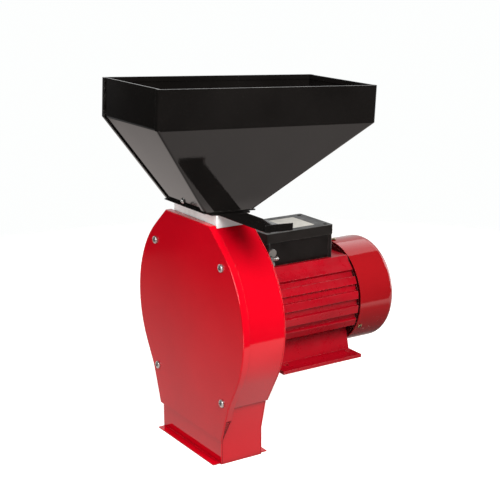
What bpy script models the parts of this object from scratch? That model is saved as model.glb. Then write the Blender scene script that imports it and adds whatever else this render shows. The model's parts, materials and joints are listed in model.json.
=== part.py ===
"""Hammer mill: red grinding drum, black feed hopper with a slide gate, foot-mounted motor.

Units are metres.  +Z is up, +Y runs from the front cover to the motor's fan, +X is the side the
gate is pulled out to.  The origin is on the underside of the motor's feet, in the middle of its
four holes, and the shaft axis lies 90 mm above it.
"""
import math

import bmesh
import bpy
from mathutils import Matrix, Vector

# ---------------------------------------------------------------- driving dimensions
GAP = 0.0003                 # clearance between touching pieces
SHEET = 0.002                # drum and chute sheet

SHAFT_Z = 0.090              # shaft height of the motor frame
HOLE_X = 0.070               # foot holes, half of 140 mm
HOLE_Y = 0.0625              # foot holes, half of 125 mm
FRONT_Y = -0.200             # outer face of the front cover

DRUM_Z = 0.095               # centre of the drum outline
COVER_R = 0.162              # round part of the front cover
COVER_TOP = (0.067, 0.2495)  # upper corner of the cover (x, z)
COVER_KINK = (0.118, -0.024)
COVER_FOOT = (0.097, -0.084)
COVER_RIM = 0.011
BAND_INSET = 0.0055          # drum sheet inside the cover's outline
DRUM_DEPTH = 0.0775          # cover face to the outside of the back plate

SEAM_Z = -0.028              # lower end of the drum sheet
CHUTE_TUCK = (0.1094, -0.020)
CHUTE_SHOULDER = (0.1049, SEAM_Z)
CHUTE_KNEE = (0.092, -0.079)
CHUTE_BOTTOM_Z = -0.125
LIP_HALF = 0.088
LIP_DEPTH = 0.0125

NECK_HALF = 0.0642
NECK_FRONT = 0.0145
NECK_BOTTOM_Z = 0.2398

LEAN = math.radians(-2.87)   # the hopper leans back on its neck
PIVOT_Y = 0.0407             # middle of the hopper's base, from the cover's face
PIVOT_Z = 0.265
HOPPER_SHEET = 0.0016
HOPPER_TOP = (0.0893, -0.1417, 0.2433, 0.188)      # half width, y front, y rear, z
HOPPER_WAIST = (0.0893, -0.1417, 0.2433, 0.1295)
HOPPER_BASE = (0.0606, -0.0438, 0.0438, 0.0023)
HOPPER_WRAP = 0.009
HOPPER_LAP = 0.0021            # short panels' outer face, inside the long panels' outer face
THROAT = (0.050, -0.0215, 0.0215)

GATE_HALF = 0.0232           # half of the gate strip's width
GATE_IN = -0.054
GATE_OUT = 0.193
GATE_TAB = 0.011

SWING_R = 0.127              # hammer tip circle
PIN_CIRCLE = 0.058
PIN_R = 0.006
HAMMER_HALF = 0.019
HAMMER_THICK = 0.011
DISC_R = 0.072
SHAFT_R = 0.012

BOLT_R = 0.003
BOLT_HOLE_R = 0.0035
BOLT_X = 0.101
BOLT_Z = (0.1935, -0.0195)

FRAME_START = 0.0883
FRAME_END = 0.2705
BORE_R = 0.065
RIB_TIP_R = 0.084
RIB_ROOT_R = 0.0785
GROOVE_TOP_DEG = 38.5        # upper edge of the first groove between the ribs
GROOVE_DEG = 8.2
RIB_PITCH_DEG = 16.8
GROOVE_COUNT = 4
BODY_R = 0.073
SEAT_HALF = 0.050
SEAT_Z = 0.1627
SOLE_HALF = 0.094
SOLE_THICK = 0.0055
SOLE_FRONT = 0.1175

FAN_COVER_R = 0.0860
FAN_COVER_START = 0.273
FAN_COVER_END = 0.345
FAN_COVER_SHEET = 0.0015
FAN_COVER_ROUND_R = 0.013
FAN_COVER_SCREW_DEG = (-30, 90, 210)

BOX_HALF = 0.0430
BOX_Y = (0.1195, 0.2415)
BOX_Z = (0.163, 0.201)
BOX_WALL = 0.0025
COLUMN_R = 0.004             # columns outside the box's corners
LID_HALF = 0.0460
LID_Y = (0.1165, 0.2445)
LID_TOP_Z = 0.2165
LID_WALL = 0.0022
GLAND_Y = 0.215
GLAND_Z = 0.181


# ---------------------------------------------------------------- scene and materials
def clear_scene():
    for obj in list(bpy.data.objects):
        bpy.data.objects.remove(obj, do_unlink=True)


def new_collection(name):
    group = bpy.data.collections.new(name)
    bpy.context.scene.collection.children.link(group)
    return group


def material(name, colour, roughness, metallic=0.0):
    mat = bpy.data.materials.new(name)
    mat.use_nodes = True
    shader = mat.node_tree.nodes["Principled BSDF"]
    shader.inputs["Base Color"].default_value = (*colour, 1.0)
    shader.inputs["Roughness"].default_value = roughness
    shader.inputs["Metallic"].default_value = metallic
    mat.diffuse_color = (*colour, 1.0)
    return mat


clear_scene()
PARTS = new_collection("hammer_mill")
CUTTERS = new_collection("cutters")

RED = ("red_enamel", (0.58, 0.004, 0.010), 0.25)
FAN_RED = ("fan_cover_red", (0.40, 0.012, 0.014), 0.35)
BLACK = ("black_enamel", (0.012, 0.011, 0.010), 0.22)
ZINC = ("zinc_plate", (0.62, 0.62, 0.60), 0.35, 1.0)
NECK_GREY = ("bare_galvanised", (0.74, 0.71, 0.68), 0.45, 0.3)
STEEL = ("machined_steel", (0.42, 0.42, 0.43), 0.35, 1.0)
HARD_STEEL = ("hardened_steel", (0.20, 0.20, 0.21), 0.40, 1.0)
CAST = ("cast_aluminium", (0.45, 0.45, 0.46), 0.50, 0.8)
LAMINATED = ("electrical_steel", (0.16, 0.16, 0.17), 0.45, 0.9)
PLASTIC = ("black_plastic", (0.016, 0.015, 0.014), 0.45)
FELT = ("felt", (0.25, 0.23, 0.20), 0.95)
NYLON = ("white_nylon", (0.70, 0.69, 0.65), 0.50)
MATERIALS = {}


def finish(obj, look):
    """Link an object, give it its material and shade its round faces smooth."""
    name, colour, roughness = look[:3]
    if name not in MATERIALS:
        MATERIALS[name] = material(name, colour, roughness, look[3] if len(look) > 3 else 0.0)
    PARTS.objects.link(obj)
    obj.data.materials.append(MATERIALS[name])
    obj.data.shade_smooth()
    obj.data.set_sharp_from_angle(angle=math.radians(20))
    return obj


def empty(name, location, rotation=(0.0, 0.0, 0.0)):
    obj = bpy.data.objects.new(name, None)
    obj.location = location
    obj.rotation_euler = rotation
    obj.empty_display_size = 0.02
    PARTS.objects.link(obj)
    return obj


# ---------------------------------------------------------------- outlines in the X-Z plane
def mirrored(right_side):
    """Close an outline whose right side runs from top to bottom."""
    return right_side + [(-x, z) for x, z in reversed(right_side)]


def circle(radius, centre=(0.0, 0.0), count=48):
    step = 2 * math.pi / count
    return [(centre[0] + radius * math.cos(i * step), centre[1] + radius * math.sin(i * step))
            for i in range(count)]


def polar(radius, degrees, centre_z):
    angle = math.radians(degrees)
    return (radius * math.cos(angle), centre_z + radius * math.sin(angle))


def offset_path(points, distance, closed):
    """Move a path to its right-hand side, with mitred corners."""
    moved = []
    count = len(points)
    for i, point in enumerate(points):
        sides = []
        if closed or i > 0:
            sides.append(Vector(point) - Vector(points[i - 1]))
        if closed or i < count - 1:
            sides.append(Vector(points[(i + 1) % count]) - Vector(point))
        normals = [Vector((side.y, -side.x)).normalized() for side in sides]
        if len(normals) == 1:
            shift = normals[0]
        else:
            shift = (normals[0] + normals[1]) / (1.0 + normals[0].dot(normals[1]))
        moved.append(tuple(Vector(point) + shift * distance))
    return moved


def drum_side(steps=16):
    """Right side of the drum from its upper corner round to the lower tangent point."""
    top = Vector(COVER_TOP) - Vector((0.0, DRUM_Z))
    low = Vector(COVER_KINK) - Vector((0.0, DRUM_Z))
    start = math.atan2(top.y, top.x) - math.acos(COVER_R / top.length)
    end = math.atan2(low.y, low.x) + math.acos(COVER_R / low.length)
    arc = [polar(COVER_R, math.degrees(start + (end - start) * i / steps), DRUM_Z)
           for i in range(steps + 1)]
    return [COVER_TOP] + arc


def cover_outline(inset=0.0, drop=0.0):
    """Front cover outline; drop lowers the bottom edge."""
    x, z = COVER_FOOT
    loop = mirrored(drum_side() + [COVER_KINK, (x, z)])
    loop = offset_path(loop, inset, closed=True)
    return [(px, pz - drop) if pz < z + inset + GAP else (px, pz) for px, pz in loop]


def drum_path(inset):
    """Right side of the drum sheet, cut off at the seam with the chute."""
    side = drum_side()
    tangent = Vector(COVER_KINK) - Vector(side[-1])
    path = [(0.0, COVER_TOP[1])] + side + [tuple(Vector(COVER_KINK) + tangent)]
    path = offset_path(path, inset, closed=False)[1:]
    last, past = Vector(path[-2]), Vector(path[-1])
    share = (last.y - SEAM_Z) / (last.y - past.y)
    path[-1] = tuple(last.lerp(past, share))
    return path


# ---------------------------------------------------------------- solids
def object_from_bmesh(name, bm):
    mesh = bpy.data.meshes.new(name)
    bm.to_mesh(mesh)
    bm.free()
    return bpy.data.objects.new(name, mesh)


def extruded(name, loops, start, end):
    """Solid between two planes along Y from closed X-Z loops; loops after the first are holes."""
    data = bpy.data.curves.new(name, "CURVE")
    data.dimensions = "2D"
    data.fill_mode = "BOTH"
    data.extrude = (end - start) / 2
    for loop in loops:
        spline = data.splines.new("POLY")
        spline.points.add(len(loop) - 1)
        for point, (x, z) in zip(spline.points, loop):
            point.co = (x, z, 0.0, 1.0)
        spline.use_cyclic_u = True
    guide = bpy.data.objects.new(name + "_outline", data)
    CUTTERS.objects.link(guide)
    depsgraph = bpy.context.evaluated_depsgraph_get()
    mesh = bpy.data.meshes.new_from_object(guide.evaluated_get(depsgraph))
    bpy.data.objects.remove(guide, do_unlink=True)
    turn = Matrix.Rotation(math.pi / 2, 4, "X")
    mesh.transform(Matrix.Translation((0.0, (start + end) / 2, 0.0)) @ turn)
    bm = bmesh.new()
    bm.from_mesh(mesh)
    bpy.data.meshes.remove(mesh)
    bmesh.ops.remove_doubles(bm, verts=bm.verts, dist=0.00001)
    bmesh.ops.recalc_face_normals(bm, faces=bm.faces)
    return object_from_bmesh(name, bm)


def box(name, low, high):
    bm = bmesh.new()
    centre = (Vector(low) + Vector(high)) / 2
    size = Vector(high) - Vector(low)
    bmesh.ops.create_cube(bm, size=1.0, matrix=Matrix.Translation(centre) @ Matrix.Diagonal((*size, 1.0)))
    return object_from_bmesh(name, bm)


def cylinder(name, radius, start, end, centre=(0.0, 0.0), axis="Y", sides=24, end_radius=None):
    """Cylinder or cone along an axis; centre is (x, z) for Y, (y, z) for X and (x, y) for Z."""
    bm = bmesh.new()
    bmesh.ops.create_cone(bm, cap_ends=True, segments=sides, radius1=radius,
                          radius2=radius if end_radius is None else end_radius, depth=end - start)
    middle = (start + end) / 2
    if axis == "Y":
        place = Matrix.Translation((centre[0], middle, centre[1])) @ Matrix.Rotation(-math.pi / 2, 4, "X")
    elif axis == "X":
        place = Matrix.Translation((middle, *centre)) @ Matrix.Rotation(math.pi / 2, 4, "Y")
    else:
        place = Matrix.Translation((*centre, middle))
    bmesh.ops.transform(bm, matrix=place, verts=bm.verts)
    return object_from_bmesh(name, bm)


def turned(name, profile, steps=32, closed=True):
    """Turn a profile of (radius, y) points about the local Z axis, laid along +Y.

    The points start at the far end, run down the outer side and, on a ring, back up the bore.
    """
    bm = bmesh.new()
    verts = [bm.verts.new((radius, 0.0, y)) for radius, y in profile]
    for first, second in zip(verts, verts[1:]):
        bm.edges.new((first, second))
    if closed:
        bm.edges.new((verts[-1], verts[0]))
    obj = object_from_bmesh(name, bm)
    screw = obj.modifiers.new("turn", "SCREW")
    screw.axis = "Z"
    screw.steps = steps
    screw.render_steps = steps
    screw.use_merge_vertices = True
    screw.merge_threshold = 0.00005
    obj.rotation_euler = (-math.pi / 2, 0.0, 0.0)
    return obj


def ring(name, inner, outer, start, end, steps=32):
    return turned(name, [(inner, end), (outer, end), (outer, start), (inner, start)], steps)


def boolean(obj, tool, operation="DIFFERENCE"):
    """Cut an object with a tool, or join the tool to it; the tool goes to the cutters."""
    CUTTERS.objects.link(tool)
    tool.hide_render = True
    tool.display_type = "WIRE"
    step = obj.modifiers.new(operation.lower(), "BOOLEAN")
    step.operation = operation
    step.object = tool
    step.solver = "EXACT"
    return obj


def joined(name, pieces):
    """One mesh that holds several closed solids, used as a single tool."""
    bm = bmesh.new()
    for piece in pieces:
        bm.from_mesh(piece.data)
        bpy.data.objects.remove(piece, do_unlink=True)
    return object_from_bmesh(name, bm)


def thick_path(path, thickness):
    """Closed outline of a bent sheet whose outer face follows the path."""
    return path + list(reversed(offset_path(path, thickness, closed=False)))


def other_side(obj, name):
    """Copy of a piece, mirrored to the -X side."""
    bm = bmesh.new()
    bm.from_mesh(obj.data)
    bmesh.ops.scale(bm, vec=(-1.0, 1.0, 1.0), verts=bm.verts)
    bmesh.ops.reverse_faces(bm, faces=bm.faces)
    return object_from_bmesh(name, bm)


# ---------------------------------------------------------------- drum and chute
FRONT = empty("drum_front", (0.0, FRONT_Y, 0.0))
SHAFT_AXIS = empty("shaft_axis", (0.0, FRONT_Y, SHAFT_Z))


def place(obj, look, parent):
    finish(obj, look)
    obj.parent = parent
    return obj


def bolt_places():
    return [(sign * BOLT_X, z) for z in BOLT_Z for sign in (-1, 1)]


def make_front_cover():
    cover = extruded("front_cover", [cover_outline()], 0.0, COVER_RIM)
    hollow = extruded("cover_hollow", [cover_outline(SHEET, drop=0.02)], SHEET, COVER_RIM + 0.01)
    holes = [cylinder("hole", BOLT_HOLE_R, -0.01, 0.02, centre=spot, sides=16) for spot in bolt_places()]
    boolean(cover, hollow)
    boolean(cover, joined("cover_holes", holes))
    place(cover, RED, FRONT)
    hollow.parent = FRONT
    bpy.data.objects["cover_holes"].parent = FRONT


def make_drum_bands():
    outer = drum_path(BAND_INSET)
    inner = drum_path(BAND_INSET + SHEET)
    slope = (inner[1][1] - inner[0][1]) / (inner[1][0] - inner[0][0])
    cut_x = outer[0][0]
    inner[0] = (cut_x, inner[0][1] + slope * (cut_x - inner[0][0]))
    loop = outer + list(reversed(inner))
    right = extruded("drum_band_right", [loop], SHEET + 0.001, DRUM_DEPTH - SHEET - GAP)
    left = other_side(right, "drum_band_left")
    place(right, RED, FRONT)
    place(left, RED, FRONT)


def make_back_plate():
    side = drum_path(BAND_INSET) + [CHUTE_SHOULDER, CHUTE_KNEE, (CHUTE_KNEE[0], CHUTE_BOTTOM_Z)]
    shaft_hole = circle(0.024, (0.0, SHAFT_Z))
    bolt_holes = [circle(BOLT_HOLE_R, spot, 16) for spot in bolt_places()[:2]]
    start = DRUM_DEPTH - SHEET
    plate = extruded("drum_back_plate", [mirrored(side), shaft_hole] + bolt_holes, start, DRUM_DEPTH)
    lip = box("back_lip", (-LIP_HALF, start + 0.001, CHUTE_BOTTOM_Z),
              (LIP_HALF, DRUM_DEPTH + LIP_DEPTH, CHUTE_BOTTOM_Z + SHEET))
    boolean(plate, lip, "UNION")
    lip.parent = FRONT
    place(plate, RED, FRONT)


def make_chute():
    knee_x, knee_z = CHUTE_KNEE
    slope = (CHUTE_SHOULDER[0] - knee_x) / (CHUTE_SHOULDER[1] - knee_z)
    top_z = COVER_FOOT[1] + 0.022
    corner = [(knee_x + slope * (top_z - knee_z), top_z), CHUTE_KNEE, (knee_x, CHUTE_BOTTOM_Z)]
    front_y = SHEET + 0.0013
    panel = extruded("chute_front_panel", [mirrored(corner)], front_y, front_y + SHEET)
    lip = box("front_lip", (-LIP_HALF, front_y - LIP_DEPTH, CHUTE_BOTTOM_Z),
              (LIP_HALF, front_y + 0.001, CHUTE_BOTTOM_Z + SHEET))
    boolean(panel, lip, "UNION")
    lip.parent = FRONT
    place(panel, RED, FRONT)

    path = [CHUTE_TUCK, CHUTE_SHOULDER, CHUTE_KNEE, (knee_x, CHUTE_BOTTOM_Z)]
    right = extruded("chute_side_right", [thick_path(path, SHEET)],
                     front_y + SHEET + GAP, DRUM_DEPTH - SHEET - GAP)
    left = other_side(right, "chute_side_left")
    place(right, RED, FRONT)
    place(left, RED, FRONT)


def make_neck():
    """Feed collar: a square tube on a short flange, cut off along the hopper's lean."""
    wall = SHEET
    rear = DRUM_DEPTH - SHEET - GAP
    neck = box("inlet_neck", (-NECK_HALF, NECK_FRONT, NECK_BOTTOM_Z), (NECK_HALF, rear, PIVOT_Z + 0.01))
    flange = box("neck_flange", (-NECK_HALF, SHEET + 0.001, NECK_BOTTOM_Z),
                 (NECK_HALF, NECK_FRONT + 0.001, NECK_BOTTOM_Z + wall))
    passage = box("neck_passage", (wall - NECK_HALF, NECK_FRONT + wall, NECK_BOTTOM_Z - 0.01),
                  (NECK_HALF - wall, rear - wall, PIVOT_Z + 0.03))
    top = box("neck_top_cut", (-0.1, -0.1, -0.0033), (0.1, 0.1, 0.05))
    top.parent = LEAN_FRAME
    for tool, operation in ((flange, "UNION"), (passage, "DIFFERENCE"), (top, "DIFFERENCE")):
        boolean(neck, tool, operation)
        if tool is not top:
            tool.parent = FRONT
    place(neck, NECK_GREY, FRONT)


def make_cover_bolts():
    """Two long bolts through the drum with wing nuts behind it, two short screws in bosses below."""
    for number, (x, z) in enumerate(bolt_places(), 1):
        holder = empty("bolt_axis_%d" % number, (x, FRONT_Y, z))
        through = z == BOLT_Z[0]
        end = 0.100 if through else 0.0165
        profile = [(0.0, end), (BOLT_R - 0.0004, end), (BOLT_R, end - 0.0005), (BOLT_R, -GAP),
                   (0.0062, -GAP), (0.0062, -0.0022), (0.0046, -0.0038), (0.0, -0.0043)]
        bolt = turned("cover_bolt_%d" % number, profile, steps=14, closed=False)
        place(bolt, ZINC, holder)
        if through:
            make_wing_nut("wing_nut_%d" % number, holder)
        else:
            boss = ring("threaded_boss_%d" % (number - 2), BOLT_R + GAP, 0.0052, SHEET + GAP, 0.0175, 20)
            place(boss, STEEL, holder)


def make_wing_nut(name, holder):
    seat = DRUM_DEPTH + GAP
    nut = cylinder(name, 0.0085, seat, seat + 0.010, sides=16, end_radius=0.006)
    wings = []
    for side in (-1, 1):
        wing = cylinder("wing", 0.0075, -0.0014, 0.0014, axis="X", sides=12)
        wing.data.transform(Matrix.Translation((0.0, seat + 0.0105, side * 0.0098)))
        wings.append(wing)
    wings = joined(name + "_wings", wings)
    wings.data.transform(Matrix.Rotation(math.radians(12), 4, "Y"))
    bore = cylinder(name + "_bore", BOLT_R + GAP, 0.05, 0.12, sides=14)
    for tool, operation in ((wings, "UNION"), (bore, "DIFFERENCE")):
        boolean(nut, tool, operation)
        tool.parent = holder
    place(nut, ZINC, holder)


def make_sieve():
    """Perforated screen round the hammers, open under the neck."""
    outer, inner = SWING_R + 0.008, SWING_R + 0.006
    start, end = math.radians(60), math.radians(-240)
    steps = 40
    angles = [start + (end - start) * i / steps for i in range(steps + 1)]
    arc = [(outer * math.cos(a), outer * math.sin(a)) for a in angles]
    back = [(inner * math.cos(a), inner * math.sin(a)) for a in reversed(angles)]
    sieve = extruded("sieve", [arc + back], SHEET + 0.0004, DRUM_DEPTH - SHEET - GAP)
    slots = []
    for row in range(2):
        for i in range(12):
            slot = cylinder("slot", 0.0055, inner - 0.003, outer + 0.003, axis="X", sides=6)
            slot.data.transform(Matrix.Translation((0.0, 0.024 + 0.030 * row, 0.0)))
            slot.data.transform(Matrix.Rotation(math.radians(-36 + 22 * i + 11 * row), 4, "Y"))
            slots.append(slot)
    holes = joined("sieve_holes", slots)
    boolean(sieve, holes)
    holes.parent = SHAFT_AXIS
    place(sieve, STEEL, SHAFT_AXIS)


# ---------------------------------------------------------------- hopper and gate
LEAN_FRAME = empty("hopper_lean", (0.0, FRONT_Y + PIVOT_Y, PIVOT_Z), (LEAN, 0.0, 0.0))


def bent_sheet(name, columns, thickness):
    """Sheet from a grid of points, one row for each level of the hopper, thickened inwards."""
    bm = bmesh.new()
    rows = len(columns[0])
    grid = [[bm.verts.new(point) for point in column] for column in columns]
    for left, right in zip(grid, grid[1:]):
        for i in range(rows - 1):
            bm.faces.new((left[i], left[i + 1], right[i + 1], right[i]))
    obj = object_from_bmesh(name, bm)
    shell = obj.modifiers.new("sheet", "SOLIDIFY")
    shell.thickness = thickness
    shell.offset = -1.0
    shell.use_even_offset = True
    shell.use_quality_normals = True
    return obj


def hopper_levels():
    return [HOPPER_TOP, HOPPER_WAIST, HOPPER_BASE]


def half_width_at(z):
    low, high = HOPPER_BASE, HOPPER_WAIST
    share = min(1.0, (z - low[3]) / (high[3] - low[3]))
    return low[0] + (high[0] - low[0]) * share


def lapped_profile(index, inward):
    """Side view (y, z) of a short panel's outer face, one lap inside the long panels' wraps."""
    path = [(level[index], level[3]) for level in hopper_levels()]
    return offset_path(path, -inward * HOPPER_LAP, closed=False)


def make_hopper():
    """Two long panels that wrap round the corners and two short ones that lap under them."""
    columns = [[], [], [], []]
    for half, front, rear, z in hopper_levels():
        columns[0].append((half - HOPPER_WRAP, front, z))
        columns[1].append((half, front, z))
        columns[2].append((half, rear, z))
        columns[3].append((half - HOPPER_WRAP, rear, z))
    right = bent_sheet("hopper_panel_right", columns, HOPPER_SHEET)
    mirror = [[(-x, y, z) for x, y, z in column] for column in reversed(columns)]
    left = bent_sheet("hopper_panel_left", mirror, HOPPER_SHEET)
    place(right, BLACK, LEAN_FRAME)
    place(left, BLACK, LEAN_FRAME)

    for name, index, inward in (("hopper_panel_front", 1, 1), ("hopper_panel_rear", 2, -1)):
        edges = [[], []]
        for y, z in lapped_profile(index, inward):
            half = half_width_at(z) - HOPPER_LAP - GAP
            edges[0].append((-inward * half, y, z))
            edges[1].append((inward * half, y, z))
        place(bent_sheet(name, edges, HOPPER_SHEET), BLACK, LEAN_FRAME)


def make_hopper_base():
    half, front, rear = HOPPER_BASE[:3]
    base = box("hopper_base", (-half - 0.001, front - 0.001, 0.0), (half + 0.001, rear + 0.001, 0.002))
    throat = box("throat_cut", (-THROAT[0], THROAT[1], -0.01), (THROAT[0], THROAT[2], 0.01))
    throat.parent = LEAN_FRAME
    boolean(base, throat)
    place(base, BLACK, LEAN_FRAME)


def make_gate():
    """U-shaped guide between base and neck, and the strip that slides in it along X."""
    guide = box("gate_guide", (-0.063, -0.034, -0.003), (0.063, 0.0345, -GAP))
    slot = box("guide_slot", (GATE_IN - 0.0006, -GATE_HALF - 0.0006, -0.01),
               (0.08, GATE_HALF + 0.0006, 0.01))
    slot.parent = LEAN_FRAME
    boolean(guide, slot)
    place(guide, BLACK, LEAN_FRAME)

    side = [(GATE_IN, -0.0027), (GATE_OUT, -0.0027), (GATE_OUT, GATE_TAB - 0.0027),
            (GATE_OUT - 0.002, GATE_TAB - 0.0027), (GATE_OUT - 0.002, -0.0007), (GATE_IN, -0.0007)]
    gate = extruded("slide_gate", [side], -GATE_HALF, GATE_HALF)
    place(gate, BLACK, LEAN_FRAME)


def make_hopper_screws():
    """Screws through the feet of the short hopper panels, square to their slopes."""
    z = 0.0095
    for name, index, inward in (("hopper_screw_front", 1, 1), ("hopper_screw_rear", 2, -1)):
        waist, foot = lapped_profile(index, inward)[1:]
        run = (waist[0] - foot[0]) / (waist[1] - foot[1])
        y = foot[0] + run * (z - foot[1])
        screw = turned(name, [(0.0, 0.0004), (0.0040, 0.0004), (0.0040, -0.0016), (0.0024, -0.0027),
                              (0.0, -0.0030)], steps=16, closed=False)
        finish(screw, ZINC)
        screw.parent = LEAN_FRAME
        outward = Vector((0.0, -inward, inward * run)).normalized()
        screw.location = Vector((0.0, y, z)) + outward * (0.0004 + GAP)
        screw.rotation_euler = outward.to_track_quat("-Z", "X").to_euler()


# ---------------------------------------------------------------- hammer rotor
def make_rotor():
    hub_profile = [(SHAFT_R + GAP, 0.062), (0.024, 0.062), (0.024, 0.058), (DISC_R, 0.058),
                   (DISC_R, 0.054), (0.024, 0.054), (0.024, 0.0243), (SHAFT_R + GAP, 0.0243)]
    hub = turned("rotor_hub", hub_profile)
    disc = ring("front_disc", SHAFT_R + GAP, DISC_R, 0.020, 0.024)
    for obj, tag in ((hub, "hub"), (disc, "disc")):
        pins = [cylinder("pin", PIN_R + GAP, 0.0, 0.07, centre=polar(PIN_CIRCLE, 90 * i, 0.0), sides=16)
                for i in range(4)]
        holes = joined(tag + "_pin_holes", pins)
        boolean(obj, holes)
        holes.parent = SHAFT_AXIS
        place(obj, STEEL, SHAFT_AXIS)

    bolt = turned("rotor_bolt", [(0.0, 0.040), (0.004, 0.040), (0.004, 0.0197), (0.018, 0.0197),
                                 (0.018, 0.0165), (0.0072, 0.0165), (0.0072, 0.010), (0.0, 0.010)],
                  steps=24, closed=False)
    place(bolt, ZINC, SHAFT_AXIS)


def make_hammers():
    """Four swing hammers, each on its own shouldered pin, in two staggered tracks."""
    front_track = (0.0250, 0.0250 + HAMMER_THICK)
    rear_track = (0.0533 - HAMMER_THICK, 0.0533)
    for i in range(4):
        x, z = polar(PIN_CIRCLE, 90 * i, SHAFT_Z)
        turn = -math.radians(90 * i)
        joint = empty("hammer_joint_%d" % (i + 1), (x, FRONT_Y, z), (0.0, turn, 0.0))
        start, end = front_track if i % 2 == 0 else rear_track
        shoulder = (end + GAP, 0.0537) if i % 2 == 0 else (0.0243, start - GAP)
        profile = [(0.0, 0.060), (PIN_R, 0.060), (PIN_R, shoulder[1]), (0.010, shoulder[1]),
                   (0.010, shoulder[0]), (PIN_R, shoulder[0]), (PIN_R, 0.018), (0.0, 0.018)]
        place(turned("hammer_pin_%d" % (i + 1), profile, steps=14, closed=False), STEEL, joint)

        reach = SWING_R - PIN_CIRCLE
        outline = [(reach, HAMMER_HALF), (reach, -HAMMER_HALF), (-0.010, -HAMMER_HALF),
                   (-0.015, -0.012), (-0.015, 0.012), (-0.010, HAMMER_HALF)]
        hammer = extruded("hammer_%d" % (i + 1), [outline, circle(PIN_R + 0.0004, count=20)], start, end)
        place(hammer, HARD_STEEL, joint)


# ---------------------------------------------------------------- motor
def frame_side():
    """Right side of the motor frame: seat, ribs, round body, web and sole."""
    side = [(SEAT_HALF, SEAT_Z), polar(RIB_TIP_R, 50, SHAFT_Z), polar(RIB_TIP_R, 44, SHAFT_Z)]
    flank = 1.0                                  # each groove narrows by this many degrees a side
    for i in range(GROOVE_COUNT):
        upper = GROOVE_TOP_DEG - RIB_PITCH_DEG * i
        lower = upper - GROOVE_DEG
        side.append(polar(RIB_TIP_R, upper, SHAFT_Z))
        side.append(polar(RIB_ROOT_R, upper - flank, SHAFT_Z))
        side.append(polar(RIB_ROOT_R, lower + flank, SHAFT_Z))
        side.append(polar(RIB_TIP_R, lower, SHAFT_Z))
    end = GROOVE_TOP_DEG - RIB_PITCH_DEG * GROOVE_COUNT
    side.append(polar(RIB_TIP_R, end, SHAFT_Z))
    side.append(polar(BODY_R, end - 2 * flank, SHAFT_Z))
    side.append(polar(BODY_R, -38, SHAFT_Z))
    side.append(polar(BODY_R, -45, SHAFT_Z))
    side.append((0.060, SOLE_THICK))
    return side


def make_motor_frame():
    """One casting: ribbed body with a flat seat on top and a hollow foot with its sole below."""
    outline = mirrored(frame_side() + [(SOLE_HALF, SOLE_THICK), (SOLE_HALF, 0.0)])
    frame = extruded("motor_frame", [outline, circle(BORE_R, (0.0, SHAFT_Z), 60)], FRAME_START, FRAME_END)
    cavities = []
    for sign in (-1, 1):
        arch = [polar(BODY_R + 0.005, degrees, SHAFT_Z) for degrees in (-52, -60, -68, -76)]
        loop = [(x * sign, z) for x, z in [(0.053, 0.0075)] + arch + [(0.019, 0.0075)]]
        cavities.append(extruded("cavity", [loop], 0.05, 0.30))
    holes = []
    for x in (-HOLE_X, HOLE_X):
        for y in (-HOLE_Y, HOLE_Y):
            holes.append(cylinder("hole", 0.005, -0.01, 0.02, centre=(x, y - FRONT_Y), axis="Z", sides=20))
    belly = [polar(BODY_R + 0.0005, -44 - 4 * i, SHAFT_Z) for i in range(12)]
    below = belly + [(-x, z) for x, z in reversed(belly)][1:]
    front_cut = extruded("foot_front_cut", [[(0.12, belly[0][1])] + below + [(-0.12, belly[0][1]),
                         (-0.12, -0.02), (0.12, -0.02)]], 0.05, SOLE_FRONT)
    for tool in (joined("foot_cavities", cavities), joined("sole_holes", holes), front_cut):
        boolean(frame, tool)
        tool.parent = FRONT
    place(frame, RED, FRONT)


def make_shields():
    front = turned("front_end_shield", [
        (0.0262, 0.105), (0.034, 0.105), (0.034, 0.088), (0.059, 0.088), (0.059, 0.096),
        (BORE_R - GAP, 0.096), (BORE_R - GAP, 0.088), (0.080, 0.088), (0.080, 0.0778),
        (0.0135, 0.0778), (0.0135, 0.0884), (0.0262, 0.0884)])
    place(front, CAST, SHAFT_AXIS)
    rear = turned("rear_end_shield", [
        (0.0135, 0.277), (0.034, 0.277), (0.082, 0.275), (0.082, 0.2708), (BORE_R - GAP, 0.2708),
        (BORE_R - GAP, 0.262), (0.059, 0.262), (0.059, 0.2708), (0.034, 0.2708), (0.034, 0.252),
        (0.0262, 0.252), (0.0262, 0.2696), (0.0135, 0.2696)])
    lugs = []
    for degrees in FAN_COVER_SCREW_DEG:
        lug = box("lug", (0.078, 0.271, -0.006), (FAN_COVER_R - FAN_COVER_SHEET - GAP - 0.0004, 0.286, 0.006))
        lug.data.transform(Matrix.Rotation(-math.radians(degrees), 4, "Y"))
        lugs.append(lug)
    lugs = joined("shield_lugs", lugs)
    boolean(rear, lugs, "UNION")
    lugs.parent = SHAFT_AXIS
    place(rear, CAST, SHAFT_AXIS)


def make_stator():
    stator = turned("wound_stator", [
        (0.046, 0.252), (0.058, 0.252), (0.060, 0.236), (BORE_R - GAP, 0.235), (BORE_R - GAP, 0.125),
        (0.060, 0.124), (0.058, 0.108), (0.046, 0.108), (0.046, 0.124), (0.0422, 0.125),
        (0.0422, 0.235), (0.046, 0.236)])
    place(stator, LAMINATED, SHAFT_AXIS)
    core = ring("rotor_core", 0.0163, 0.0416, 0.125, 0.235)
    place(core, LAMINATED, SHAFT_AXIS)
    for name, start, end in (("front_bearing", 0.0888, 0.1035), ("rear_bearing", 0.2543, 0.2690)):
        place(ring(name, 0.0128, 0.0259, start, end, 28), STEEL, SHAFT_AXIS)


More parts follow.
